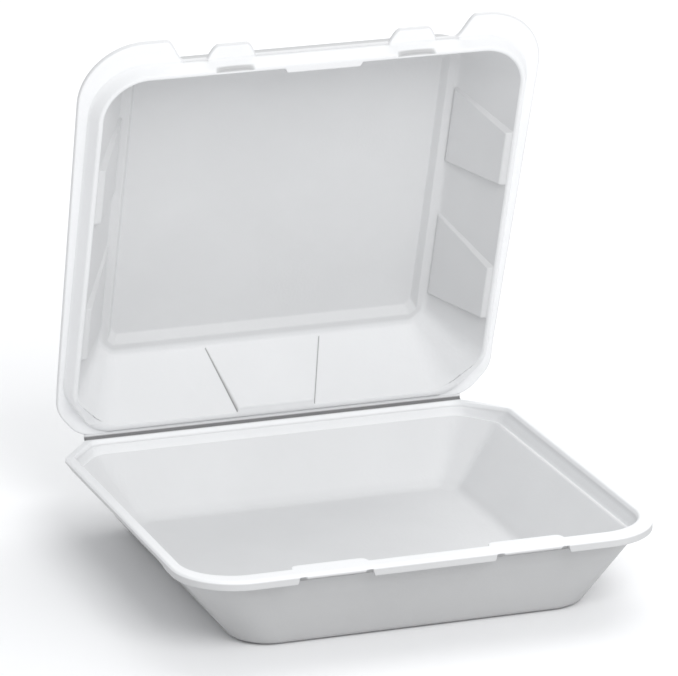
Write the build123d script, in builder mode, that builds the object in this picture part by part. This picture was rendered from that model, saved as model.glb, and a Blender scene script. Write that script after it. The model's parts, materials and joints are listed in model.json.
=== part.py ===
import os
from math import cos, radians, sin

from build123d import *

os.makedirs("parts", exist_ok=True)

# ---- driving dimensions, mm --------------------------------------------------
# +Z up, X along the hinge, the hinge at the back (+Y), the front at -Y.
# The origin is on the flat underside of the tray.

rim_z = 40.0            # tray rim height
rim_half_x = 115.0      # rim half width
rim_front = -111.5      # front edge of the rim
hinge_y = 111.5         # hinge axis
hinge_z = 37.5
open_deg = 72.0         # lid opening angle as built, from closed

foam = 2.4              # sheet thickness of walls
flange = 2.2            # sheet thickness of flanges
land_half_x = 96.5      # half length of the hinge land
land_back = 110.0       # back edge of the tray's hinge land
land_z = 37.3           # top of the tray's hinge land

lip_front_z = 35.3      # lower edge of the downturned lip at the front
lip_side_z = 36.9       # lower edge of the lip along the sides

catch_x = 47.0          # centres of the two front catches
catch_len = 36.0
catch_inner = -98.0     # inner edge of a catch

strip_t = 0.8           # hinge strip thickness

# lid, in its own closed position measured from the hinge axis
lid_half_x = 114.3
lid_under = 2.8         # underside of the lid flange above the hinge axis
crest = -4.2            # lowest edge of the lid's inner rim
border_z = 28.0         # inner face of the lid's border
panel_z = 31.5          # inner face of the lid's raised panel
lobe_front = -219.5
edge_front = -208.0
tab_front = -214.8
tabs = (-41.0, 48.0)    # centres of the two front tabs
block_x = 2.5           # centre of the block at the front edge
lid_land = -1.5         # edge of the lid's hinge land

HX = (1, 0, 0)
s, c = sin(radians(open_deg)), cos(radians(open_deg))
lid_plane = Plane(origin=(0, hinge_y, hinge_z), x_dir=HX, z_dir=(0, s, c))
lid_side = Plane(origin=(0, hinge_y, hinge_z), x_dir=(0, c, -s), z_dir=HX)


def outline(hx, front, back, r_front, cut_x, cut_y, r_back, narrow=0.0):
    """Plan outline: rounded front corners, back corners cut off at a slant.

    The sides may draw in by narrow towards the back.
    """
    Polygon(
        (-hx, front), (hx, front), (hx - narrow, back - cut_y), (hx - cut_x, back),
        (-hx + cut_x, back), (-hx + narrow, back - cut_y), align=None,
    )
    fillet([v for v in vertices() if v.Y < front + 1], r_front)
    fillet([v for v in vertices() if v.Y > back - cut_y - 0.5], r_back)


# ---- hollow of the tray ------------------------------------------------------
floor_in = (81.5, -87.6, 83.6, 16, 7, 7, 7)
ledge_in = (105.5, -98.9, 103.9, 22, 14, 17, 12)
ledge_out = (106.9, -100.2, 104.0, 23, 14.5, 18, 12)
step_in = (108.4, -101.0, 106.3, 24, 16, 22, 10)
rim_in = (110.3, -102.3, 111.9, 25, 18.3, 29.3, 6)

with BuildPart() as tray_hollow:
    with BuildSketch(Plane.XY.offset(foam)):
        outline(*floor_in)
    with BuildSketch(Plane.XY.offset(31.5)):
        outline(*ledge_in)
    loft(ruled=True)
    fillet(tray_hollow.part.edges().filter_by_position(Axis.Z, foam - 0.01, foam + 0.01), 5)
    with BuildSketch(Plane.XY.offset(31.5)):
        outline(*ledge_out)
    with BuildSketch(Plane.XY.offset(35.3)):
        outline(*step_in)
    loft(ruled=True)
    with BuildSketch(Plane.XY.offset(35.3)):
        outline(*step_in)
    with BuildSketch(Plane.XY.offset(rim_z)):
        outline(*rim_in)
    loft(ruled=True)
    with BuildSketch(Plane.XY.offset(rim_z)):
        outline(*rim_in)
    extrude(amount=4)

# ---- tray --------------------------------------------------------------------
with BuildPart() as base_tray:
    # downturned lip, deep at the front, shallow along the sides, none at the back
    with BuildSketch(Plane.XY.offset(lip_front_z)):
        outline(rim_half_x, rim_front, land_back, 30, 18.5, 29.5, 3)
        offset(amount=-2.0, mode=Mode.SUBTRACT)
    extrude(amount=rim_z - 1 - lip_front_z)
    with BuildSketch(Plane.YZ):
        Polygon((-62, lip_side_z), (74, lip_side_z), (84, rim_z + 1), (120, rim_z + 1),
                (120, 30), (-76, 30), (-76, lip_front_z), align=None)
    extrude(amount=130, both=True, mode=Mode.SUBTRACT)
    # flat flange round the rim
    with BuildSketch(Plane.XY.offset(rim_z - flange)):
        outline(rim_half_x, rim_front, land_back, 30, 18.5, 29.5, 3)
    extrude(amount=flange)
    # outside of the walls
    with BuildSketch(Plane.XY):
        outline(84.2, -90.4, 86.2, 18, 8, 8, 8)
    with BuildSketch(Plane.XY.offset(29.0)):
        outline(106.7, -100.5, 105.2, 24, 15, 17, 12)
    loft(ruled=True)
    with BuildSketch(Plane.XY.offset(29.0)):
        outline(106.7, -100.5, 105.2, 24, 15, 17, 12)
    with BuildSketch(Plane.XY.offset(38.0)):
        outline(113.0, -104.6, 109.8, 26, 17.8, 27.5, 6)
    loft(ruled=True)
    # hinge land
    with BuildSketch(Plane.XY.offset(land_z - 2.3)):
        with Locations((0, land_back - 3.5)):
            Rectangle(2 * land_half_x, 7)
    extrude(amount=2.3)
    fillet(base_tray.part.edges().filter_by_position(Axis.Z, -0.01, 0.01), 7)
    add(tray_hollow.part, mode=Mode.SUBTRACT)
    # the rim falls towards the hinge
    with BuildSketch(Plane.YZ):
        Polygon((80.5, rim_z), (land_back, land_z), (130, land_z), (130, 60), (80.5, 60),
                align=None)
    extrude(amount=130, both=True, mode=Mode.SUBTRACT)
    # two catches: the flange reaches inwards, the lip below is cut back
    with BuildSketch(Plane.XY.offset(rim_z - flange)):
        with Locations((catch_x, (catch_inner - 105) / 2), (-catch_x, (catch_inner - 105) / 2)):
            RectangleRounded(catch_len, abs(-105 - catch_inner), 3)
    extrude(amount=flange)
    with BuildSketch(Plane.XZ.offset(109.0)):
        with Locations((catch_x, 36.2), (-catch_x, 36.2)):
            RectangleRounded(catch_len, 3.0, 1.2)
        for e in (-1, 1):
            with Locations((catch_x + e * (catch_len / 2 - 2), 36.9),
                           (-catch_x + e * (catch_len / 2 - 2), 36.9)):
                RectangleRounded(4.0, 4.4, 1.2)
    extrude(amount=6, mode=Mode.SUBTRACT)
base_tray.part.label = "base_tray"

# ---- hollow of the lid -------------------------------------------------------
with BuildPart() as lid_hollow:
    with BuildSketch(lid_plane.offset(crest - 0.2)):
        outline(103.1, -203.3, -4.5, 21, 15, 22.7, 10)
    with BuildSketch(lid_plane.offset(border_z)):
        outline(83.8, -191.5, -27.3, 14, 7, 7, 7)
    loft(ruled=True)
    with BuildSketch(lid_plane.offset(border_z)):
        outline(79.2, -185.6, -33.0, 6, 3, 3, 2)
    with BuildSketch(lid_plane.offset(panel_z)):
        outline(76.8, -183.0, -37.3, 5, 3, 3, 2)
    loft(ruled=True)

# space inside the V-shaped fold, between the lid's wall and its flange
with BuildPart() as lid_fold:
    with BuildSketch(lid_plane.offset(-0.6)):
        outline(104.2, -205.4, -8.9, 22, 13.5, 19, 10)
    with BuildSketch(lid_plane.offset(5.4)):
        outline(108.4, -206.2, -5.0, 24, 17, 27.5, 10)
    loft(ruled=True)


def side_wall(z):
    """Half width of the lid's inner wall at height z above the hinge axis."""
    return 103.1 - 0.5957 * (z - crest + 0.2)


def back_wall(z):
    return -4.5 - 0.7037 * (z - crest + 0.2)


def front_wall(z):
    return -203.3 + 0.3642 * (z - crest + 0.2)


def lug(z, side, near, far, low, high):
    """Cross section of a stiffening lug at height z: from low to high off the wall."""
    if side == 0:
        y = back_wall(z)
        Polygon((-near, y + high), (near, y + high), (near, y - low), (-near, y - low),
                align=None)
    else:
        x = side_wall(z)
        Polygon((side * (x - low), near), (side * (x + high), near),
                (side * (x + high), far), (side * (x - low), far), align=None)


# (side, top edge range, rim edge range, height of the lower end, how far it stands off there)
# side 0 is the back wall
lugs = [
    (0, (29.0, 29.0), (19.5, 19.5), -0.8, 2.2),
    (1, (-122.0, -163.5), (-126.0, -155.5), -3.0, 3.4),
    (1, (-45.0, -91.5), (-49.0, -78.5), -3.0, 3.0),
    (-1, (-122.0, -163.5), (-126.0, -155.5), -3.0, 3.4),
    (-1, (-45.0, -91.5), (-49.0, -78.5), -3.0, 3.0),
]
lug_top = 27.0

# ---- lid ---------------------------------------------------------------------
with BuildPart() as lid:
    # flange with two corner lobes and two tabs at the front
    with BuildSketch(lid_plane.offset(lid_under)):
        outline(lid_half_x, lobe_front, lid_land, 30, 15.5, 14.5, 8, 3.7)
        with BuildSketch(mode=Mode.SUBTRACT):
            Polygon((-73.5, -225), (-73.5, -219.6), (-63.5, edge_front), (69, edge_front),
                    (79, -219.6), (79, -225), align=None)
            fillet([v for v in vertices() if v.Y > -209], 4)
        with Locations((tabs[0], 0), (tabs[1], 0)):
            Polygon((-11.5, -204), (-11.5, -209.5), (-8.5, tab_front), (8.5, tab_front),
                    (11.5, -209.5), (11.5, -204), align=None)
        fillet([v for v in vertices() if abs(v.Y - tab_front) < 0.05], 2.5)
    extrude(amount=flange)
    # the flange falls to the hinge land
    with BuildSketch(lid_plane.offset(0.2)):
        outline(lid_half_x, lobe_front, lid_land, 30, 15.5, 14.5, 8, 3.7)
        with Locations((0, -130)):
            Rectangle(260, 200, mode=Mode.SUBTRACT)
    extrude(amount=lid_under)
    with BuildSketch(lid_side):
        Polygon((-31, lid_under), (lid_land, 0.2), (20, 0.2), (20, -20), (-31, -20), align=None)
        Polygon((-26, lid_under + flange), (lid_land, 2.6), (20, 2.6), (20, 20), (-26, 20),
                align=None)
    extrude(amount=130, both=True, mode=Mode.SUBTRACT)
    # inner rim: slopes down and inwards from the flange to its crest
    with BuildSketch(lid_plane.offset(crest)):
        outline(104.9, -205.2, -6.0, 23, 13, 20, 10)
    with BuildSketch(lid_plane.offset(lid_under)):
        outline(110.4, -207.6, -2.6, 26, 18.5, 30, 10)
    loft(ruled=True)
    with BuildSketch(lid_plane.offset(lid_under)):
        outline(110.4, -207.6, -2.6, 26, 18.5, 30, 10)
    extrude(amount=0.8)
    add(lid_fold.part, mode=Mode.SUBTRACT)
    # outside of the walls and of the raised panel
    with BuildSketch(lid_plane.offset(-1.0)):
        outline(103.8, -204.7, -4.7, 21.5, 14, 20.0, 10)
    with BuildSketch(lid_plane.offset(border_z + foam)):
        outline(85.2, -193.2, -26.1, 16, 8, 8, 8)
    loft(ruled=True)
    with BuildSketch(lid_plane.offset(border_z + foam)):
        outline(80.6, -187.4, -31.4, 7, 3, 3, 2.5)
    with BuildSketch(lid_plane.offset(panel_z + foam)):
        outline(78.3, -184.8, -35.6, 6, 3, 3, 2.5)
    loft(ruled=True)
    add(lid_hollow.part, mode=Mode.SUBTRACT)
    # the inner rim rises towards the hinge
    with BuildSketch(lid_side):
        Polygon((-26, crest - 0.01), (-10, -1.0), (6, -1.0), (6, -9), (-26, -9), align=None)
    extrude(amount=130, both=True, mode=Mode.SUBTRACT)
    # lugs stand off the inside of the walls, thickest towards the rim
    for side, top, rim, end, proud in lugs:
        with BuildSketch(lid_plane.offset(lug_top)):
            lug(lug_top, side, top[0], top[1], proud - 2.0, 1.0)
        with BuildSketch(lid_plane.offset(end)):
            lug(end, side, rim[0], rim[1], proud, 1.0)
        loft(ruled=True)
    # block at the middle of the front edge
    with BuildSketch(lid_plane.offset(crest)):
        y = front_wall(crest)
        Polygon((block_x - 19, y - 1.2), (block_x + 19, y - 1.2),
                (block_x + 18, y + 2.4), (block_x - 18, y + 2.4), align=None)
    with BuildSketch(lid_plane.offset(9.0)):
        y = front_wall(9.0)
        Polygon((block_x - 18, y - 1.2), (block_x + 18, y - 1.2),
                (block_x + 17, y + 0.4), (block_x - 17, y + 0.4), align=None)
    loft(ruled=True)
    # pockets under the tabs
    with BuildSketch(lid_plane.offset(crest - 1)):
        with Locations((tabs[0], -206.3), (tabs[1], -206.3)):
            RectangleRounded(18.0, 3.4, 1.6)
    extrude(amount=4.2, mode=Mode.SUBTRACT)
lid.part.label = "lid"

# ---- hinge strip: a thin web bent from the tray's land up to the lid's ---------
web_z = land_z - 0.6                    # middle of the web where it leaves the tray
web_r = 1.836                           # bend radius of the middle of the web
web_cz = web_z + web_r
half_t = strip_t / 2


def on_bend(radius, turn):
    """Point on the web's bend; turn is counted from the tray's end."""
    return (land_back + radius * sin(radians(turn)), web_cz - radius * cos(radians(turn)))


def on_land(height):
    """Point on the lid's land edge, height measured up from the hinge axis when closed."""
    return (hinge_y + lid_land * c + height * s, hinge_z - lid_land * s + height * c)


bend = 180 - open_deg
with BuildPart() as living_hinge:
    with BuildSketch(Plane.YZ):
        with BuildLine():
            ThreePointArc(on_bend(web_r - half_t, 0), on_bend(web_r - half_t, bend / 2),
                          on_bend(web_r - half_t, bend))
            Polyline(on_bend(web_r - half_t, bend), on_land(0.333), on_land(1.133),
                     on_bend(web_r + half_t, bend))
            ThreePointArc(on_bend(web_r + half_t, bend), on_bend(web_r + half_t, bend / 2),
                          on_bend(web_r + half_t, 0))
            Line(on_bend(web_r + half_t, 0), on_bend(web_r - half_t, 0))
        make_face()
    extrude(amount=land_half_x - 0.5, both=True)
living_hinge.part.label = "living_hinge"

export_step(base_tray.part, "parts/base_tray.step")
export_step(lid.part, "parts/lid.step")
export_step(living_hinge.part, "parts/living_hinge.step")
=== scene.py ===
import json
import math

import bmesh
import bpy
import numpy as np
from mathutils import Matrix, Vector


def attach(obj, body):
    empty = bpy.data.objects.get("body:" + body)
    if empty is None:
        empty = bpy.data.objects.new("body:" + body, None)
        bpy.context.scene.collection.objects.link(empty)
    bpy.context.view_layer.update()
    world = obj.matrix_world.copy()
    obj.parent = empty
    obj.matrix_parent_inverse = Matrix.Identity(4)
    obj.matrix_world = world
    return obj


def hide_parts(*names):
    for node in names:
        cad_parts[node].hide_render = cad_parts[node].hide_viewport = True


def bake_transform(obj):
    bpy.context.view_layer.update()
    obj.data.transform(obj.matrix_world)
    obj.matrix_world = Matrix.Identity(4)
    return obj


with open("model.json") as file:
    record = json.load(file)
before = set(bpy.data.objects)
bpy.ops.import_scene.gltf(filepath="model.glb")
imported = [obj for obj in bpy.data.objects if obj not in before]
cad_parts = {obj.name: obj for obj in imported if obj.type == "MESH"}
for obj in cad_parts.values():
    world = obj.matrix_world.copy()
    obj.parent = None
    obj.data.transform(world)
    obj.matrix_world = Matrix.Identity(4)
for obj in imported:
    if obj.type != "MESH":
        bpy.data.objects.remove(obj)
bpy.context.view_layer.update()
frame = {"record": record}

MM = 0.001
scene = bpy.context.scene

# the lid's frame: hinge axis and opening angle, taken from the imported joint
joint = next(j for j in frame["record"]["behaviour"]["joints"] if j["name"] == "lid_hinge")
HINGE = np.array(joint["pos_m"]) / MM
OPEN = math.radians(-joint["range_deg"][0])


# ---------------------------------------------------------------- outlines ----
def smooth(t):
    t = np.clip(t, 0.0, 1.0)
    return t * t * (3 - 2 * t)


def spread(stops, counts):
    """Numbers running through the stops, counts[i] of them from stop i up to stop i + 1."""
    out = []
    for i, n in enumerate(counts):
        out.extend(np.linspace(stops[i], stops[i + 1], n, endpoint=False))
    return np.array(out)


def fillet_ends(p, a, b, r):
    """Tangent points and centre of a round of radius r at corner p between a and b."""
    u = (a - p) / np.linalg.norm(a - p)
    v = (b - p) / np.linalg.norm(b - p)
    half = math.acos(max(-1, min(1, float(u @ v)))) / 2
    t = r / math.tan(half)
    m = (u + v) / np.linalg.norm(u + v)
    return p + u * t, p + v * t, p + m * (r / math.sin(half))


def arc(p0, p1, c, n):
    a0 = math.atan2(p0[1] - c[1], p0[0] - c[0])
    a1 = math.atan2(p1[1] - c[1], p1[0] - c[0])
    d = (a1 - a0 + math.pi) % (2 * math.pi) - math.pi
    r = np.hypot(*(p0 - c))
    t = a0 + d * np.arange(n) / n
    return np.stack([c[0] + r * np.cos(t), c[1] + r * np.sin(t)], 1)


def loop(P, front=None, side=None, back=None, n_arc=22, n_b=10, n_c=8, narrow=0.0):
    """Closed outline as points, anticlockwise from the front left corner's end.

    P is half width, front, back, front radius, corner cut in x and y, back radius.
    front, side and back are (stops, counts): where the points fall along each edge.
    The sides draw in by narrow towards the back.
    """
    hx, yf, yb, rf, cx, cy, rb = P
    v = [np.array(q, float) for q in (
        (-hx, yf), (hx, yf), (hx - narrow, yb - cy), (hx - cx, yb), (-hx + cx, yb),
        (-hx + narrow, yb - cy))]
    ends = []
    for i, r in enumerate((rf, rf, rb, rb, rb, rb)):
        ends.append(fillet_ends(v[i], v[i - 1], v[(i + 1) % 6], r))
    out = []

    def straight(p0, p1, stops, counts, axis):
        a, b = p0[axis], p1[axis]
        s = np.array([a] + [q for q in stops] + [b], float)
        if a < b:
            s[1:-1] = np.clip(s[1:-1], a + 0.5, b - 0.5)
        else:
            s[1:-1] = np.clip(s[1:-1], b + 0.5, a - 0.5)
        pos = spread(s, counts)
        t = (pos - a) / (b - a)
        return p0 + (p1 - p0) * t[:, None]

    fs, fc = front
    ss, sc = side
    bs, bc = back
    out.append(straight(ends[0][1], ends[1][0], fs, fc, 0))
    out.append(arc(ends[1][0], ends[1][1], ends[1][2], n_arc))
    out.append(straight(ends[1][1], ends[2][0], ss, sc, 1))
    out.append(arc(ends[2][0], ends[2][1], ends[2][2], n_b))
    out.append(straight(ends[2][1], ends[3][0], [], [n_c], 1))
    out.append(arc(ends[3][0], ends[3][1], ends[3][2], n_b))
    out.append(straight(ends[3][1], ends[4][0], bs, bc, 0))
    out.append(arc(ends[4][0], ends[4][1], ends[4][2], n_b))
    out.append(straight(ends[4][1], ends[5][0], [], [n_c], 1))
    out.append(arc(ends[5][0], ends[5][1], ends[5][2], n_b))
    out.append(straight(ends[5][1], ends[0][0], ss[::-1], sc[::-1], 1))
    out.append(arc(ends[0][0], ends[0][1], ends[0][2], n_arc))
    return np.concatenate(out)


def spans(front, side, back, n_arc=22, n_b=10, n_c=8):
    """Index ranges of the runs that loop() makes, by name."""
    names = ["front", "arc_fr", "right", "b1", "c1", "a1", "back", "a2", "c2", "b2", "left", "arc_fl"]
    sizes = [sum(front[1]), n_arc, sum(side[1]), n_b, n_c, n_b, sum(back[1]), n_b, n_c, n_b,
             sum(side[1]), n_arc]
    out, at = {}, 0
    for name, n in zip(names, sizes):
        out[name] = slice(at, at + n)
        at += n
    return out


def rounded(rows, k=4):
    """rows: (P, z, rounding, subdivisions of the run that follows, tag).

    Returns (vector of P and z, tag) for each level, with every inner corner eased.
    """
    V = [np.array(list(P) + [z], float) for P, z, *_ in rows]

    def gap(a, b):
        return math.hypot(a[0] - b[0], a[7] - b[7]) + 1e-9

    out = []
    prev = None
    for i, row in enumerate(rows):
        rho, sub, tag = row[2], row[3], row[4]
        if 0 < i < len(rows) - 1 and rho > 0:
            la, lb = gap(V[i], V[i - 1]), gap(V[i], V[i + 1])
            ta, tb = min(rho / la, 0.45), min(rho / lb, 0.45)
            A = V[i] + (V[i - 1] - V[i]) * ta
            B = V[i] + (V[i + 1] - V[i]) * tb
            pts = []
            for j in range(k + 1):
                t = j / k
                pts.append((1 - t) ** 2 * A + 2 * t * (1 - t) * V[i] + t * t * B)
        else:
            pts = [V[i]]
        if prev is not None:
            n = rows[i - 1][3]
            for j in range(1, n):
                out.append((prev + (pts[0] - prev) * j / n, rows[i - 1][4] + ">"))
        for q in pts:
            out.append((q, tag))
        prev = pts[-1]
    return out


def skin(name, levels, close_start, close_end, painted_light_rows):
    """Closed mesh from a list of loops, each an array of N by 3, in millimetres.

    The last argument holds one number a loop: painted light and shade there, lighter where it stands for lit rims,
    darker where it stands for shaded walls and folds.
    """
    n = len(levels[0])
    verts = np.concatenate(levels + [np.array([close_start]), np.array([close_end])])
    faces = []
    for r in range(len(levels) - 1):
        a, b = r * n, (r + 1) * n
        for i in range(n):
            j = (i + 1) % n
            faces.append((a + i, a + j, b + j, b + i))
    s, e = len(verts) - 2, len(verts) - 1
    last = (len(levels) - 1) * n
    for i in range(n):
        j = (i + 1) % n
        faces.append((s, j, i))
        faces.append((e, last + i, last + j))
    mesh = bpy.data.meshes.new(name)
    mesh.from_pydata((verts * MM).tolist(), [], faces)
    # painted light and shade for each point, read by the material's colour ramp
    painted_light = np.concatenate([np.broadcast_to(t, n) for t in painted_light_rows] + [np.array([painted_light_rows[0], painted_light_rows[-1]])])
    painted_light = 0.25 + 0.75 * painted_light
    mesh.attributes.new("painted_light", "FLOAT", "POINT").data.foreach_set("value", painted_light.astype(np.float32))
    bm = bmesh.new()
    bm.from_mesh(mesh)
    bmesh.ops.remove_doubles(bm, verts=bm.verts, dist=1e-6)
    bmesh.ops.recalc_face_normals(bm, faces=bm.faces)
    bm.to_mesh(mesh)
    bm.free()
    for p in mesh.polygons:
        p.use_smooth = True
    obj = bpy.data.objects.new(name, mesh)
    scene.collection.objects.link(obj)
    return obj


def shrink(level, k):
    c = np.array([0.0, (level[:, 1].min() + level[:, 1].max()) / 2, 0.0])
    q = level.copy()
    q[:, :2] = c[:2] + (level[:, :2] - c[:2]) * k
    return q


# -------------------------------------------------------------------- tray ----
RIM_Z, LAND_DROP = 40.0, 2.7
CATCH, CATCH_HALF = 47.0, 18.0

t_front = ([-65.6, -64.4, -62.4, -60.6, -58, -36, -33.4, -31.6, -29.6, -28.4,
            28.4, 29.6, 31.6, 33.4, 36, 58, 60.6, 62.4, 64.4, 65.6],
           [8, 3, 4, 3, 3, 14, 3, 3, 4, 3, 30, 3, 4, 3, 3, 14, 3, 3, 4, 3, 8])
t_side = ([], [64])
t_back = ([], [72])
T = spans(t_front, t_side, t_back)

rim_P = (115.0, -111.5, 110.0, 30, 18.5, 29.5, 3)
tray_rows = [
    ((84.2, -90.4, 86.2, 18, 8, 8, 8), 0.0, 3.6, 10, "bottom"),
    ((106.7, -100.5, 105.2, 24, 15, 17, 12), 29.0, 3.0, 3, "wall_out"),
    ((112.7, -104.6, 109.6, 26, 17.8, 27.5, 6), 37.8, 0.6, 2, "under"),
    ((113.3, -109.3, 109.8, 28.3, 18.0, 28.3, 4), 37.8, 0.5, 2, "lip_top"),
    ((113.3, -109.6, 109.9, 28.3, 18.0, 28.3, 4), 35.3, 0.5, 1, "lip_in"),
    (rim_P, 35.3, 0.7, 4, "lip_out"),
    (rim_P, 40.0, 1.0, 3, "rim_out"),
    ((110.3, -102.3, 108.7, 25, 17.6, 27.6, 6), 40.0, 0.9, 2, "rim_in"),
    ((109.4, -101.7, 107.4, 24.5, 16.8, 25.0, 8), 37.8, 0.0, 1, "catch_low"),
    ((108.4, -101.0, 106.3, 24, 16, 22, 10), 35.3, 0.4, 2, "step"),
    ((106.9, -100.2, 104.0, 23, 14.5, 18, 12), 31.5, 0.6, 2, "ledge_out"),
    ((105.5, -98.9, 103.9, 22, 14, 17, 12), 31.5, 0.8, 10, "ledge_in"),
    ((81.5, -87.6, 83.6, 16, 7, 7, 7), 2.4, 3.2, 1, "floor"),
]
# the first and last rows are flat ends, so that their corners are eased as well
tray_rows = [((76.0, -82.0, 78.0, 12, 6, 6, 6), 0.0, 0, 1, "flat")] + tray_rows + [
    ((72.0, -78.0, 74.0, 10, 5, 5, 5), 2.4, 0, 1, "flat")]


def catch_window(x, half=CATCH_HALF, edge=3.0):
    d = half - np.abs(np.abs(x) - CATCH)
    t = np.clip(d / edge, 0, 1)
    return np.sqrt(np.clip(1 - (1 - t) ** 2, 0, 1))


levels, tags = [], []
for vec, tag in rounded(tray_rows, 5):
    xy = loop(vec[:7], t_front, t_side, t_back)
    z = np.full(len(xy), vec[7])
    q = np.column_stack([xy, z])
    levels.append(q)
    tags.append(tag)


def shape_tray(levels, tags):
    out, names = [], []
    for q, tag in zip(levels, tags):
        q = q.copy()
        x, y, z = q[:, 0].copy(), q[:, 1].copy(), q[:, 2].copy()
        t = np.clip((y - 80.5) / 29.5, 0, 1)
        if tag.startswith(("lip_in", "lip_out", "lip_top")):
            # depth of the lip: deep at the front, shallow at the sides, none at the back
            depth = 35.3 + 1.6 * smooth((y + 76) / 14) + 0.9 * smooth((y - 66) / 14)
            k = (RIM_Z - z) / (RIM_Z - 35.3)
            low = z < 37.8
            z = np.where(low, 37.8 - (37.8 - z) * (37.8 - depth) / 2.5, z)
        drop = LAND_DROP * t
        w = smooth((z - 34.9) / 2.6) if not tag.startswith(("under", "lip", "rim", "wall_out>")) else np.ones_like(z)
        if tag.startswith("wall_out") and not tag.endswith(">"):
            w = np.zeros_like(z)
        if tag == "wall_out>":
            w = smooth((z - 29) / 8.8)
        z = z - drop * w
        front = (y < -95) & (np.abs(x) < 80)
        win = np.where(front, catch_window(x), 0)
        if tag.startswith("lip_out") or tag.startswith("lip_in"):
            cut = np.where(front, smooth((CATCH_HALF + 0.3 - np.abs(np.abs(x) - CATCH)) / 1.0), 0)
            end = np.abs(np.abs(np.abs(x) - CATCH) - (CATCH_HALF - 2.2))
            notch = np.where(front, smooth((2.2 - end) / 0.8), 0)
            base = 37.7 + 1.0 * notch
            z = np.where(z < base, z + (base - z) * cut, z)
        if tag.startswith("rim_in") or tag == "rim_out>":
            k = np.clip((q[:, 1] + 111.5) / 9.2, 0, 1) if tag == "rim_out>" else 1.0
            y = y + 4.3 * win * k
        q[:, 0], q[:, 1], q[:, 2] = x, y, z
        out.append(q)
        names.append(tag)
    return out, names


levels, tags = shape_tray(levels, tags)
# the catches reach inwards over the wall: their underside
low = tags.index("catch_low")
under = levels[low].copy()
x, y = under[:, 0], under[:, 1]
win = np.where((y < -95) & (np.abs(x) < 80), catch_window(x), 0)
q = under.copy()
q[:, 1] += 4.0 * win
q[:, 2] += 0.15
levels.insert(low, q)
tags.insert(low, "catch_edge")
# painted light and shade for each row of the tray: rims painted light, the outer wall and underside painted dark for
# shade, the ledges and floor in between
TRAY_PAINTED_LIGHT = {"flat": 0.1, "bottom": 0.1, "wall_out": 0.12, "under": 0.4, "lip": 0.3, "rim": 1.0,
             "catch_low": 0.7, "catch_edge": 0.8, "step": 0.85, "ledge_out": 0.9, "ledge_in": 0.66,
             "floor": 0.6}


def painted_light_of(table, tag):
    return next(v for k, v in table.items() if tag.startswith(k))


painted_light_rows = [painted_light_of(TRAY_PAINTED_LIGHT, t) for t in tags]
at = len(tags) - tags[::-1].index("floor")
painted_light_rows[at:] = [0.6] * (len(painted_light_rows) - at)
# below them the wall bulges inwards
for i, tag in enumerate(tags):
    if tag in ("catch_low", "catch_low>", "step", "step>", "ledge_out"):
        q = levels[i]
        deep = np.interp(q[:, 2], [31.5, 35.3, 37.8], [0.0, 2.2, 3.7])
        q[:, 1] += deep * np.where((q[:, 1] < -95) & (np.abs(q[:, 0]) < 80), catch_window(q[:, 0]), 0)
flat_lo = [shrink(levels[0], k) for k in (0.25, 0.6)]
flat_hi = [shrink(levels[-1], k) for k in (0.75, 0.5, 0.25)]
levels = flat_lo + levels + flat_hi
painted_light_rows = [painted_light_rows[0]] * 2 + painted_light_rows + [painted_light_rows[-1]] * 3
tray = skin("foam_tray", levels, [0, levels[0][:, 1].mean(), 0.0],
            [0, levels[-1][:, 1].mean(), levels[-1][:, 2].mean()], painted_light_rows)

# --------------------------------------------------------------------- lid ----
CREST, UNDER, TOP = -4.2, 2.8, 5.0
BORDER, PANEL = 28.0, 31.5
LUG_TOP = 27.0
# edges of each lug at its top and at its lower end, height of that end, how far it stands off
side_lugs = [((-163.5, -155.5), (-122.0, -126.0), -3.0, 3.4),
             ((-91.5, -78.5), (-45.0, -49.0), -3.0, 3.0)]
back_lug = ((29.0, 19.5), -0.8, 2.4)
TABS, BLOCK = (-41.0, 48.0), 2.5


def at_height(pair, z, end):
    t = np.clip((LUG_TOP - z) / (LUG_TOP - end), 0, 1)
    return pair[0] + (pair[1] - pair[0]) * t


E = (-0.7, -0.12, 0.3, 0.9)        # points across the edge of a lug


def lid_stops(z):
    side = []
    for lo, hi, end, proud in side_lugs:
        a, b = at_height(lo, z, end), at_height(hi, z, end)
        side += [a + e for e in E] + [b - e for e in E[::-1]]
    w = at_height(back_lug[0], z, back_lug[1])
    back = [w - e for e in E] + [-w + e for e in E[::-1]]
    return side, back


def around(x, half):
    """Points close together at both ends of a feature along the front edge."""
    return [x - half - 1.6, x - half, x - half + 2.2, x + half - 2.2, x + half, x + half + 1.6]


front_x = ([-76, -72, -64, -62] + around(TABS[0], 10.8) + [BLOCK - 20, BLOCK - 18.6, BLOCK - 17.4]
           + [BLOCK + 17.4, BLOCK + 18.6, BLOCK + 20] + around(TABS[1], 10.8) + [68, 70, 79, 82])
front_n = [5, 8, 10, 3, 3, 4, 4, 14, 4, 4, 3, 3, 3, 18, 3, 3, 6, 4, 4, 14, 4, 4, 3, 3, 10, 4, 4]
assert len(front_n) == len(front_x) + 1
side_n = [8, 1, 1, 1, 14, 1, 1, 1, 12, 1, 1, 1, 14, 1, 1, 1, 6]
back_n = [20, 1, 1, 1, 14, 1, 1, 1, 20]
side0, back0 = lid_stops(0.0)
L = spans((front_x, front_n), (side0, side_n), (back0, back_n))


def lid_loop(P, z, narrow=0.0):
    side, back = lid_stops(z)
    return loop(P, (front_x, front_n), (side, side_n), (back, back_n), narrow=narrow)


def ring_at(P, z):
    q = lid_loop(P, z)
    return np.column_stack([q, np.full(len(q), z)])


def front_edge(x):
    """The lid's front edge: corner lobes, notches, tabs."""
    y = np.full_like(x, -208.0)
    y = y - 11.5 * (smooth((-63.6 - x) / 9.5) + smooth((x - 69.0) / 9.5))
    for c in TABS:
        d = np.abs(x - c)
        top = 1 - np.clip((d - 7.2) / 4.6, 0, 1) ** 1.6
        y = y - 6.8 * np.where(d < 11.8, top, 0)
    return y


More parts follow.
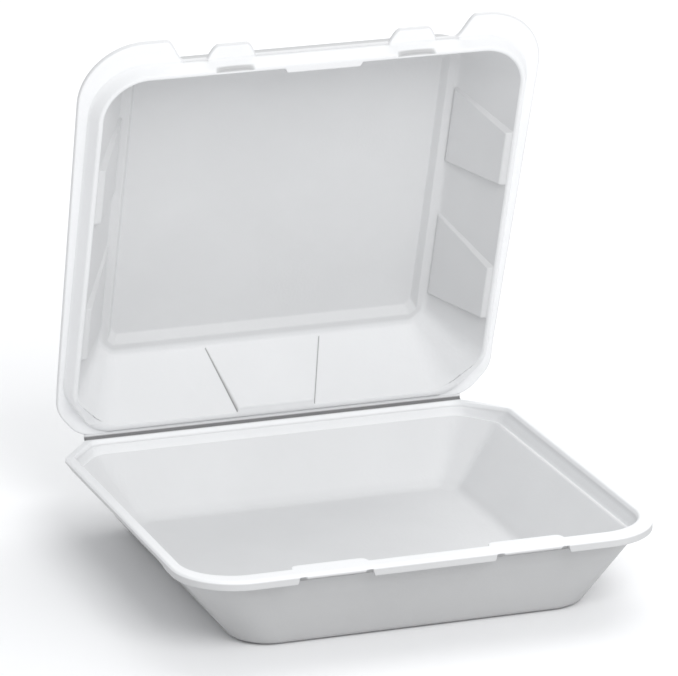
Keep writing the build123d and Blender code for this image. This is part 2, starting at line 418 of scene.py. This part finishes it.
def inset(q, d):
    """The closed outline moved inwards by d."""
    xy = q[:, :2]
    t = np.roll(xy, -1, 0) - np.roll(xy, 1, 0)
    t /= np.linalg.norm(t, axis=1)[:, None] + 1e-12
    n = np.column_stack([-t[:, 1], t[:, 0]])
    for _ in range(3):
        n = n + np.roll(n, 1, 0) + np.roll(n, -1, 0)
        n /= np.linalg.norm(n, axis=1)[:, None] + 1e-12
    out = q.copy()
    out[:, :2] = xy + n * d
    return out


flange_P = (114.3, -219.5, -1.5, 30, 15.5, 14.5, 16)
lid_rows = [
    ((70.0, -175.0, -45.0, 4, 3, 3, 2), PANEL, 0, 1, "flat"),
    ((76.6, -182.8, -37.2, 5, 3, 3, 2), PANEL, 0.55, 1, "panel"),
    ((79.0, -185.4, -33.2, 6, 3, 3, 2), BORDER, 0.5, 2, "border_in"),
    ((83.8, -191.5, -27.3, 14, 7, 7, 7), BORDER, 1.6, 12, "wall_top"),
    ((103.1, -203.3, -4.6, 21, 15, 21.0, 19), CREST, 0.9, 2, "crest_in"),
    ((104.9, -205.2, -6.0, 23, 13.2, 19.0, 17), CREST, 0.9, 3, "crest_out"),
    ((108.2, -207.6, -2.6, 26, 16.5, 24, 18), UNDER, 0.7, 1, "skirt_top"),
]
lid_rows_out = [
    ((107.4, -206.2, -5.0, 24, 16.5, 25, 12), TOP, 0.6, 2, "fold_top"),
    ((104.2, -205.3, -4.6, 22, 14.5, 22, 10), -0.4, 0.25, 1, "fold_a"),
    ((103.6, -204.6, -4.9, 21.3, 14, 20, 10), -0.4, 0.25, 6, "fold_b"),
    ((85.2, -193.2, -26.1, 16, 8, 8, 8), BORDER + 2.4, 3.0, 2, "top_edge"),
    ((80.6, -187.4, -31.4, 7, 3, 3, 2.5), BORDER + 2.4, 0.9, 1, "plat_foot"),
    ((78.3, -184.8, -35.6, 6, 3, 3, 2.5), PANEL + 2.4, 1.3, 1, "plat"),
    ((70.0, -176.0, -44.0, 4, 3, 3, 2), PANEL + 2.4, 0, 1, "flat"),
]


def lug_shift(q, z):
    """Lugs and the front block, pushed inwards off the lid's inner wall."""
    q = q.copy()
    x, y = q[:, 0].copy(), q[:, 1].copy()

    def height(end, proud):
        on = smooth((LUG_TOP + 0.6 - z) / 0.6) * smooth((z - end + 0.35) / 0.35)
        return on * (proud - 2.0 + 2.0 * np.clip((LUG_TOP - z) / (LUG_TOP - end), 0, 1))

    for run, sign in (("right", -1), ("left", 1)):
        s = L[run]
        amount = 0.0
        for lo, hi, end, proud in side_lugs:
            a, b = at_height(lo, z, end), at_height(hi, z, end)
            here = smooth((y[s] - a + 0.12) / 0.36) * smooth((b + 0.12 - y[s]) / 0.36)
            amount = np.maximum(amount, here * height(end, proud))
        q[s, 0] += sign * amount
    s = L["back"]
    pair, end, proud = back_lug
    w = at_height(pair, z, end)
    q[s, 1] -= height(end, proud) * smooth((w + 0.12 - np.abs(x[s])) / 0.36)
    block = smooth((9.5 - z) / 1.0) * (0.4 + 2.0 * np.clip((9.0 - z) / (9.0 - CREST), 0, 1))
    if block > 0:
        s = L["front"]
        q[s, 1] += block * smooth((19.2 - np.abs(q[s, 0] - BLOCK)) / 1.6)
    return q


def lug_painted_shade(q, z, base):
    """Painted shade: darker lines in the folds at the feet of the lugs, where shade falls."""
    painted_light = np.full(len(q), base)
    x, y = q[:, 0], q[:, 1]
    for run in ("right", "left"):
        s = L[run]
        for lo, hi, end, proud in side_lugs:
            b = at_height(hi, z, end)
            if end - 0.05 < z < LUG_TOP + 0.1:
                painted_light[s] = np.where((y[s] > b - 0.06) & (y[s] < b + 0.4), -0.28, painted_light[s])
    pair, end, proud = back_lug
    w = at_height(pair, z, end)
    s = L["back"]
    if end - 0.3 < z < LUG_TOP + 0.1:
        painted_light[s] = np.where((np.abs(x[s]) > w - 0.06) & (np.abs(x[s]) < w + 0.4), -0.28, painted_light[s])
    return painted_light


def wedge(q, amount=2.6, w=1.0):
    """The flange falls towards the hinge."""
    q = q.copy()
    t = np.clip((q[:, 1] + 31.0) / 29.5, 0, 1)
    q[:, 2] -= amount * t * w
    return q


inner = rounded(lid_rows, 5)
outer = rounded([((114.3, -219.5, -1.5, 30, 17.5, 29, 6), TOP, 0, 1, "edge")] + lid_rows_out, 5)[1:]

CREST_BACK = -1.0        # height of the inner rim at the hinge


def rise(q, target, low=CREST_BACK):
    """Lift the rim towards the hinge, along the wall that the target row is on."""
    want = CREST + (low - CREST) * np.clip((q[:, 1] + 26.0) / 16.0, 0, 1)
    z = q[:, 2]
    t = np.where(z < low, np.clip((want - z) / np.maximum(low - z, 1e-6), 0, 1), 0.0)
    return q + (target - q) * t[:, None]


V = {row[4]: np.array(list(row[0]) + [row[1]], float) for row in lid_rows}
on_wall = V["wall_top"] + (V["crest_in"] - V["wall_top"]) * (BORDER - CREST_BACK) / (BORDER - CREST)
on_skirt = V["crest_out"] + (V["skirt_top"] - V["crest_out"]) * (CREST_BACK - CREST) / (UNDER - CREST)
goal_in = lug_shift(ring_at(on_wall[:7], CREST_BACK), CREST_BACK)
goal_out = ring_at(on_skirt[:7], CREST_BACK)

lv = []
wall_seen = False
for vec, tag in inner:
    z = float(vec[7])
    if tag in ("wall_top>",):
        continue
    q = ring_at(vec[:7], z)
    if tag in ("crest_in", "wall_top"):
        q = lug_shift(q, z)
        if tag == "crest_in":
            q = rise(q, goal_in)
    if tag == "crest_in>":
        q = lug_shift(q, z) * 0.5 + q * 0.5
        q = rise(q, (goal_in + goal_out) / 2)
    if tag.startswith("crest_out") or tag == "skirt_top":
        q = rise(q, goal_out)
        q = wedge(q, 2.6, smooth((z - CREST_BACK) / (UNDER - CREST_BACK)))
    if tag == "wall_top":
        lv.append((q, tag, vec))
        continue
    if tag == "crest_in" and not wall_seen:
        # rows down the wall, with extra ones where the lugs begin and end
        wall_seen = True
        top = lv[-1][2]
        zs = [27.6, 27.3, 27.0, 24, 20, 16, 12, 9.6, 9.0, 6, 3, 1, -0.4, -0.8, -0.92, -1.0, -1.15,
              -2.0, -2.7, -3.0, -3.12, -3.24, -3.35]
        for zz in zs:
            if zz < top[7] - 0.02 and zz > z + 0.02:
                t = (top[7] - zz) / (top[7] - z)
                v = top + (vec - top) * t
                w = lug_shift(ring_at(v[:7], zz), zz)
                lv.append((rise(w, goal_in), "wall", v))
    lv.append((q, tag, vec))
inner_levels = [q for q, tag, vec in lv]
inner_tags = [tag for q, tag, vec in lv]
wall_z = [float(vec[7]) for q, tag, vec in lv]

# the flange: its underside, edge and top
edge = lid_loop(flange_P, 0.0, 3.7)
edge = np.column_stack([edge, np.zeros(len(edge))])
s = L["front"]
edge[s, 1] = np.where(np.abs(edge[s, 0]) < 84.0, front_edge(edge[s, 0]), edge[s, 1])
under_in = inner_levels[-1]


def flange_row(d, z):
    q = inset(edge, d) if d > 0 else edge.copy()
    q[:, 2] = z
    return wedge(q)


def pocket(x):
    return sum(np.sqrt(np.clip(1 - ((x - c) / 9.4) ** 2, 0, 1)) for c in TABS)


rows = []
# a shallow pocket in the rim below each tab
for q, tag in zip(inner_levels, inner_tags):
    if tag.startswith("crest_out") or tag == "skirt_top":
        q[s, 2] += 1.9 * pocket(q[s, 0]) * smooth((-1.0 - q[s, 2]) / 2.4)
    if tag == "crest_in>":
        q[s, 2] += 1.1 * pocket(q[s, 0])
    rows.append(q)
last = rows[-1]
mid_a = last + (flange_row(1.6, UNDER) - last) * 0.10
mid_b = last + (flange_row(1.6, UNDER) - last) * 0.16
rows += [mid_a, mid_b]
for t in (0.4, 0.7):
    rows.append(mid_b + (flange_row(1.0, UNDER) - mid_b) * t)
rows += [flange_row(0.9, UNDER), flange_row(0.35, UNDER + 0.12), flange_row(0.08, UNDER + 0.45),
         flange_row(0.0, UNDER + 0.9), flange_row(0.0, TOP - 0.9), flange_row(0.08, TOP - 0.45),
         flange_row(0.35, TOP - 0.12), flange_row(0.9, TOP)]
row_tags = list(inner_tags) + ["flange"] * (len(rows) - len(inner_tags) - 7) + ["rim_edge"] * 7

# outside: no fold at the hinge, there the wall rises straight from the land
V = {row[4]: np.array(list(row[0]) + [row[1]], float) for row in lid_rows_out}
FOOT = 2.9
foot = V["fold_b"] + (V["top_edge"] - V["fold_b"]) * (FOOT + 0.4) / (BORDER + 2.8)
foot = lid_loop(foot[:7], 0.0)
foot = np.column_stack([foot, np.full(len(foot), FOOT)])
for vec, tag in outer:
    z = float(vec[7])
    xy = lid_loop(vec[:7], 0.0)
    q = np.column_stack([xy, np.full(len(xy), z)])
    if tag.startswith(("edge", "fold_top")):
        q = wedge(q, 2.5, smooth((z - 2) / 3.0))
    if z < FOOT:
        out = foot.copy()
        if tag == "fold_top>":
            out = inset(foot, -1.0)
            out[:, 2] -= 0.12
        if tag in ("fold_a", "fold_a>"):
            out = inset(foot, -0.25)
            out[:, 2] -= 0.08
        t = smooth((q[:, 1] + 30.0) / 22.0)
        q = q + (out - q) * t[:, None]
    rows.append(q)
    row_tags.append("out_" + tag)
# painted light and shade for each row of the lid: flange and crest painted light for their glow, inner walls and the
# outside painted darker for shade
LID_PAINTED_LIGHT = {"rim_edge": 0.6, "flat": 0.5, "panel": 0.5, "border": 0.5, "wall": 0.5, "crest": 0.85, "skirt": 0.9, "flange": 1.0,
            "out_fold_top": 0.8, "out_fold": 0.3, "out": 0.15}
painted_light_rows = [painted_light_of(LID_PAINTED_LIGHT, t) for t in row_tags]
shade = np.zeros(len(edge))
shade[s] = smooth(pocket(edge[s, 0]) * 1.8)
for i, tag in enumerate(row_tags):
    if tag in ("wall", "wall_top"):
        # the wall next to the hinge is drawn less deep; there it is painted lighter, painted light for the light
        # that reaches it
        hinge_painted_light = painted_light_rows[i] + 0.25 * smooth((rows[i][:, 1] + 48.0) / 22.0)
        painted_light_rows[i] = lug_painted_shade(rows[i], wall_z[i], hinge_painted_light)
        if wall_z[i] < CREST_BACK + 0.01:
            painted_light_rows[i] = np.where(rows[i][:, 1] > -10.5, LID_PAINTED_LIGHT["crest"], painted_light_rows[i])
    if tag == "crest_in>" or tag == "crest_out":
        painted_light_rows[i] = painted_light_rows[i] - 0.75 * shade
flat_lo = [shrink(rows[0], k) for k in (0.25, 0.5, 0.75)]
flat_hi = [shrink(rows[-1], k) for k in (0.6, 0.25)]
rows = flat_lo + rows + flat_hi
painted_light_rows = [painted_light_rows[0]] * 3 + painted_light_rows + [painted_light_rows[-1]] * 2


def to_world(q):
    """From the lid's closed position, measured from the hinge axis, to the row frame."""
    co, si = math.cos(OPEN), math.sin(OPEN)
    y, z = q[:, 1], q[:, 2]
    return np.column_stack([q[:, 0], HINGE[1] + y * co + z * si, HINGE[2] - y * si + z * co])


world = [to_world(q) for q in rows]
first = to_world(np.array([[0, rows[0][:, 1].mean(), rows[0][:, 2].mean()]]))[0]
final = to_world(np.array([[0, rows[-1][:, 1].mean(), rows[-1][:, 2].mean()]]))[0]
lid = skin("foam_lid", world, first, final, painted_light_rows)

# -------------------------------------------------------------- hinge strip ---
LAND_Y, WEB_Z, WEB_R, WEB_T = 110.0, 36.7, 1.836, 0.8
centre = np.array([LAND_Y, WEB_Z + WEB_R])
n_u, n_x = 14, 96
end = math.radians(180) - OPEN
ring = []
for r in (WEB_R + WEB_T / 2, WEB_R - WEB_T / 2):
    pts = [centre + r * np.array([math.sin(a), -math.cos(a)]) for a in np.linspace(0, end, n_u)]
    lead = pts[0] + np.array([-0.5, 0.0])
    tail = pts[-1] + 0.55 * np.array([math.cos(end), math.sin(end)])
    pts = [lead] + pts + [tail]
    ring.append(pts if r > WEB_R else pts[::-1])
ring = np.array(ring[0] + ring[1])
xs = np.linspace(-96.0, 96.0, n_x)
verts, faces = [], []
for xx in xs:
    e = 1.0 - 0.35 * smooth((abs(xx) - 94.5) / 1.5)
    c = ring.mean(0)
    for p in ring:
        verts.append((xx * MM, p[0] * MM, p[1] * MM))
m = len(ring)
half = m // 2
for i in range(n_x - 1):
    for j in range(m):
        k = (j + 1) % m
        faces.append((i * m + j, i * m + k, (i + 1) * m + k, (i + 1) * m + j))
for base in (0, (n_x - 1) * m):
    for j in range(half - 1):
        faces.append((base + j, base + j + 1, base + m - 2 - j, base + m - 1 - j))
mesh = bpy.data.meshes.new("hinge_web")
mesh.from_pydata(verts, [], faces)
# the crease, on the inside of the bend, lies in shade: it is painted dark as painted shade
crease_painted_shade = [0.9] * half + [0.9 - 0.88 * float(smooth(1.5 * math.sin(math.pi * k / (half - 1)) - 0.25))
                         for k in range(half)]
mesh.attributes.new("painted_light", "FLOAT", "POINT").data.foreach_set("value", crease_painted_shade * n_x)
bm = bmesh.new()
bm.from_mesh(mesh)
bmesh.ops.recalc_face_normals(bm, faces=bm.faces)
bm.to_mesh(mesh)
bm.free()
for p in mesh.polygons:
    p.use_smooth = True
web = bpy.data.objects.new("hinge_web", mesh)
scene.collection.objects.link(web)


# ---------------------------------------------------------------- materials ---
def foam(name, fold_painted_shade, wall_painted_shade, rim_painted_light, bump=0.12):
    m = bpy.data.materials.new(name)
    m.use_nodes = True
    nt = m.node_tree
    nt.nodes.clear()
    out = nt.nodes.new("ShaderNodeOutputMaterial")
    bsdf = nt.nodes.new("ShaderNodeBsdfPrincipled")
    nt.links.new(bsdf.outputs[0], out.inputs[0])
    tex = nt.nodes.new("ShaderNodeTexCoord")
    # cells of the foam, about 1.5 mm, very shallow
    cells = nt.nodes.new("ShaderNodeTexVoronoi")
    cells.feature = "F1"
    cells.inputs["Scale"].default_value = 620
    cells.inputs["Randomness"].default_value = 1.0
    nt.links.new(tex.outputs["Object"], cells.inputs["Vector"])
    # slow unevenness of the moulded skin
    slow = nt.nodes.new("ShaderNodeTexNoise")
    slow.inputs["Scale"].default_value = 26
    slow.inputs["Detail"].default_value = 3
    nt.links.new(tex.outputs["Object"], slow.inputs["Vector"])
    fine = nt.nodes.new("ShaderNodeTexNoise")
    fine.inputs["Scale"].default_value = 1500
    fine.inputs["Detail"].default_value = 2
    nt.links.new(tex.outputs["Object"], fine.inputs["Vector"])
    # painted light and shade: rims painted light, walls and folds painted darker where they are shaded
    painted_light = nt.nodes.new("ShaderNodeAttribute")
    painted_light.attribute_name = "painted_light"
    ramp = nt.nodes.new("ShaderNodeValToRGB")
    ramp.color_ramp.elements[0].position = 0.0
    ramp.color_ramp.elements[0].color = (*fold_painted_shade, 1)
    middle = ramp.color_ramp.elements.new(0.25)
    middle.color = (*wall_painted_shade, 1)
    ramp.color_ramp.elements[-1].position = 1.0
    ramp.color_ramp.elements[-1].color = (*rim_painted_light, 1)
    nt.links.new(painted_light.outputs["Fac"], ramp.inputs["Fac"])
    uneven = nt.nodes.new("ShaderNodeMapRange")
    uneven.inputs["From Min"].default_value = 0.3
    uneven.inputs["From Max"].default_value = 0.7
    uneven.inputs["To Min"].default_value = 0.972
    uneven.inputs["To Max"].default_value = 1.0
    nt.links.new(slow.outputs["Fac"], uneven.inputs["Value"])
    tint = nt.nodes.new("ShaderNodeVectorMath")
    tint.operation = "SCALE"
    nt.links.new(ramp.outputs["Color"], tint.inputs[0])
    nt.links.new(uneven.outputs["Result"], tint.inputs["Scale"])
    nt.links.new(tint.outputs["Vector"], bsdf.inputs["Base Color"])
    rough = nt.nodes.new("ShaderNodeMapRange")
    rough.inputs["To Min"].default_value = 0.52
    rough.inputs["To Max"].default_value = 0.66
    nt.links.new(fine.outputs["Fac"], rough.inputs["Value"])
    nt.links.new(rough.outputs["Result"], bsdf.inputs["Roughness"])
    b1 = nt.nodes.new("ShaderNodeBump")
    b1.inputs["Strength"].default_value = bump
    b1.inputs["Distance"].default_value = 0.0003
    nt.links.new(cells.outputs["Distance"], b1.inputs["Height"])
    b2 = nt.nodes.new("ShaderNodeBump")
    b2.inputs["Strength"].default_value = 0.25
    b2.inputs["Distance"].default_value = 0.0012
    nt.links.new(slow.outputs["Fac"], b2.inputs["Height"])
    nt.links.new(b1.outputs["Normal"], b2.inputs["Normal"])
    nt.links.new(b2.outputs["Normal"], bsdf.inputs["Normal"])
    bsdf.inputs["IOR"].default_value = 1.42
    bsdf.inputs["Specular IOR Level"].default_value = 0.35
    return m


white = foam("white_foam", (0.18, 0.18, 0.183), (0.47, 0.471, 0.473), (0.88, 0.884, 0.892))
for o in (tray, lid, web):
    o.data.materials.append(white)
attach(tray, "tray")
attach(lid, "lid")
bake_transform(web)
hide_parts("base_tray")
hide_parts("lid")
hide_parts("living_hinge")

# ------------------------------------------------------------------- stage ----
bpy.ops.mesh.primitive_plane_add(size=12, location=(0, 0, -0.0003))
floor = bpy.context.object
floor.name = "floor"
fm = bpy.data.materials.new("pale_floor")
fm.use_nodes = True
fb = fm.node_tree.nodes["Principled BSDF"]
fb.inputs["Base Color"].default_value = (0.93, 0.93, 0.935, 1)
fb.inputs["Roughness"].default_value = 0.8
fb.inputs["Specular IOR Level"].default_value = 0.1
floor.data.materials.append(fm)

world_bg = bpy.data.worlds.new("studio")
scene.world = world_bg
world_bg.use_nodes = True
bg = world_bg.node_tree.nodes["Background"]
bg.inputs["Color"].default_value = (0.97, 0.985, 1.0, 1)
bg.inputs["Strength"].default_value = 0.68


def area(name, at, aim, size, power, colour=(1, 1, 1)):
    d = bpy.data.lights.new(name, "AREA")
    d.shape = "RECTANGLE"
    d.size, d.size_y = size
    d.energy = power
    d.color = colour
    o = bpy.data.objects.new(name, d)
    o.location = at
    o.rotation_euler = (Vector(aim) - Vector(at)).to_track_quat("-Z", "Y").to_euler()
    scene.collection.objects.link(o)
    return o


area("front_soft", (0.2, -1.75, 1.5), (0, 0, 0.08), (1.3, 1.3), 24.0)
area("back_soft", (0.75, 0.95, 1.5), (0.45, 0.75, 0), (1.6, 1.6), 15.0)

# ------------------------------------------------------------------ camera ----
AZ, EL, FOCAL = math.radians(-19.61), math.radians(17.28), 5570.55
CAM = Vector((-829.906, -2311.486, 874.873)) * MM
fwd = -Vector((math.sin(AZ) * math.cos(EL), -math.cos(AZ) * math.cos(EL), math.sin(EL)))
right = Vector((math.cos(AZ), math.sin(AZ), 0))
up = right.cross(fwd)
cd = bpy.data.cameras.new("camera")
cd.sensor_width = 36
cd.lens = FOCAL * 36 / 678
cd.clip_start, cd.clip_end = 0.05, 50
cam = bpy.data.objects.new("camera", cd)
rot = Matrix((right, up, -fwd)).transposed()
cam.matrix_world = Matrix.Translation(CAM) @ rot.to_4x4()
scene.collection.objects.link(cam)
scene.camera = cam
scene.view_settings.view_transform = "Standard"
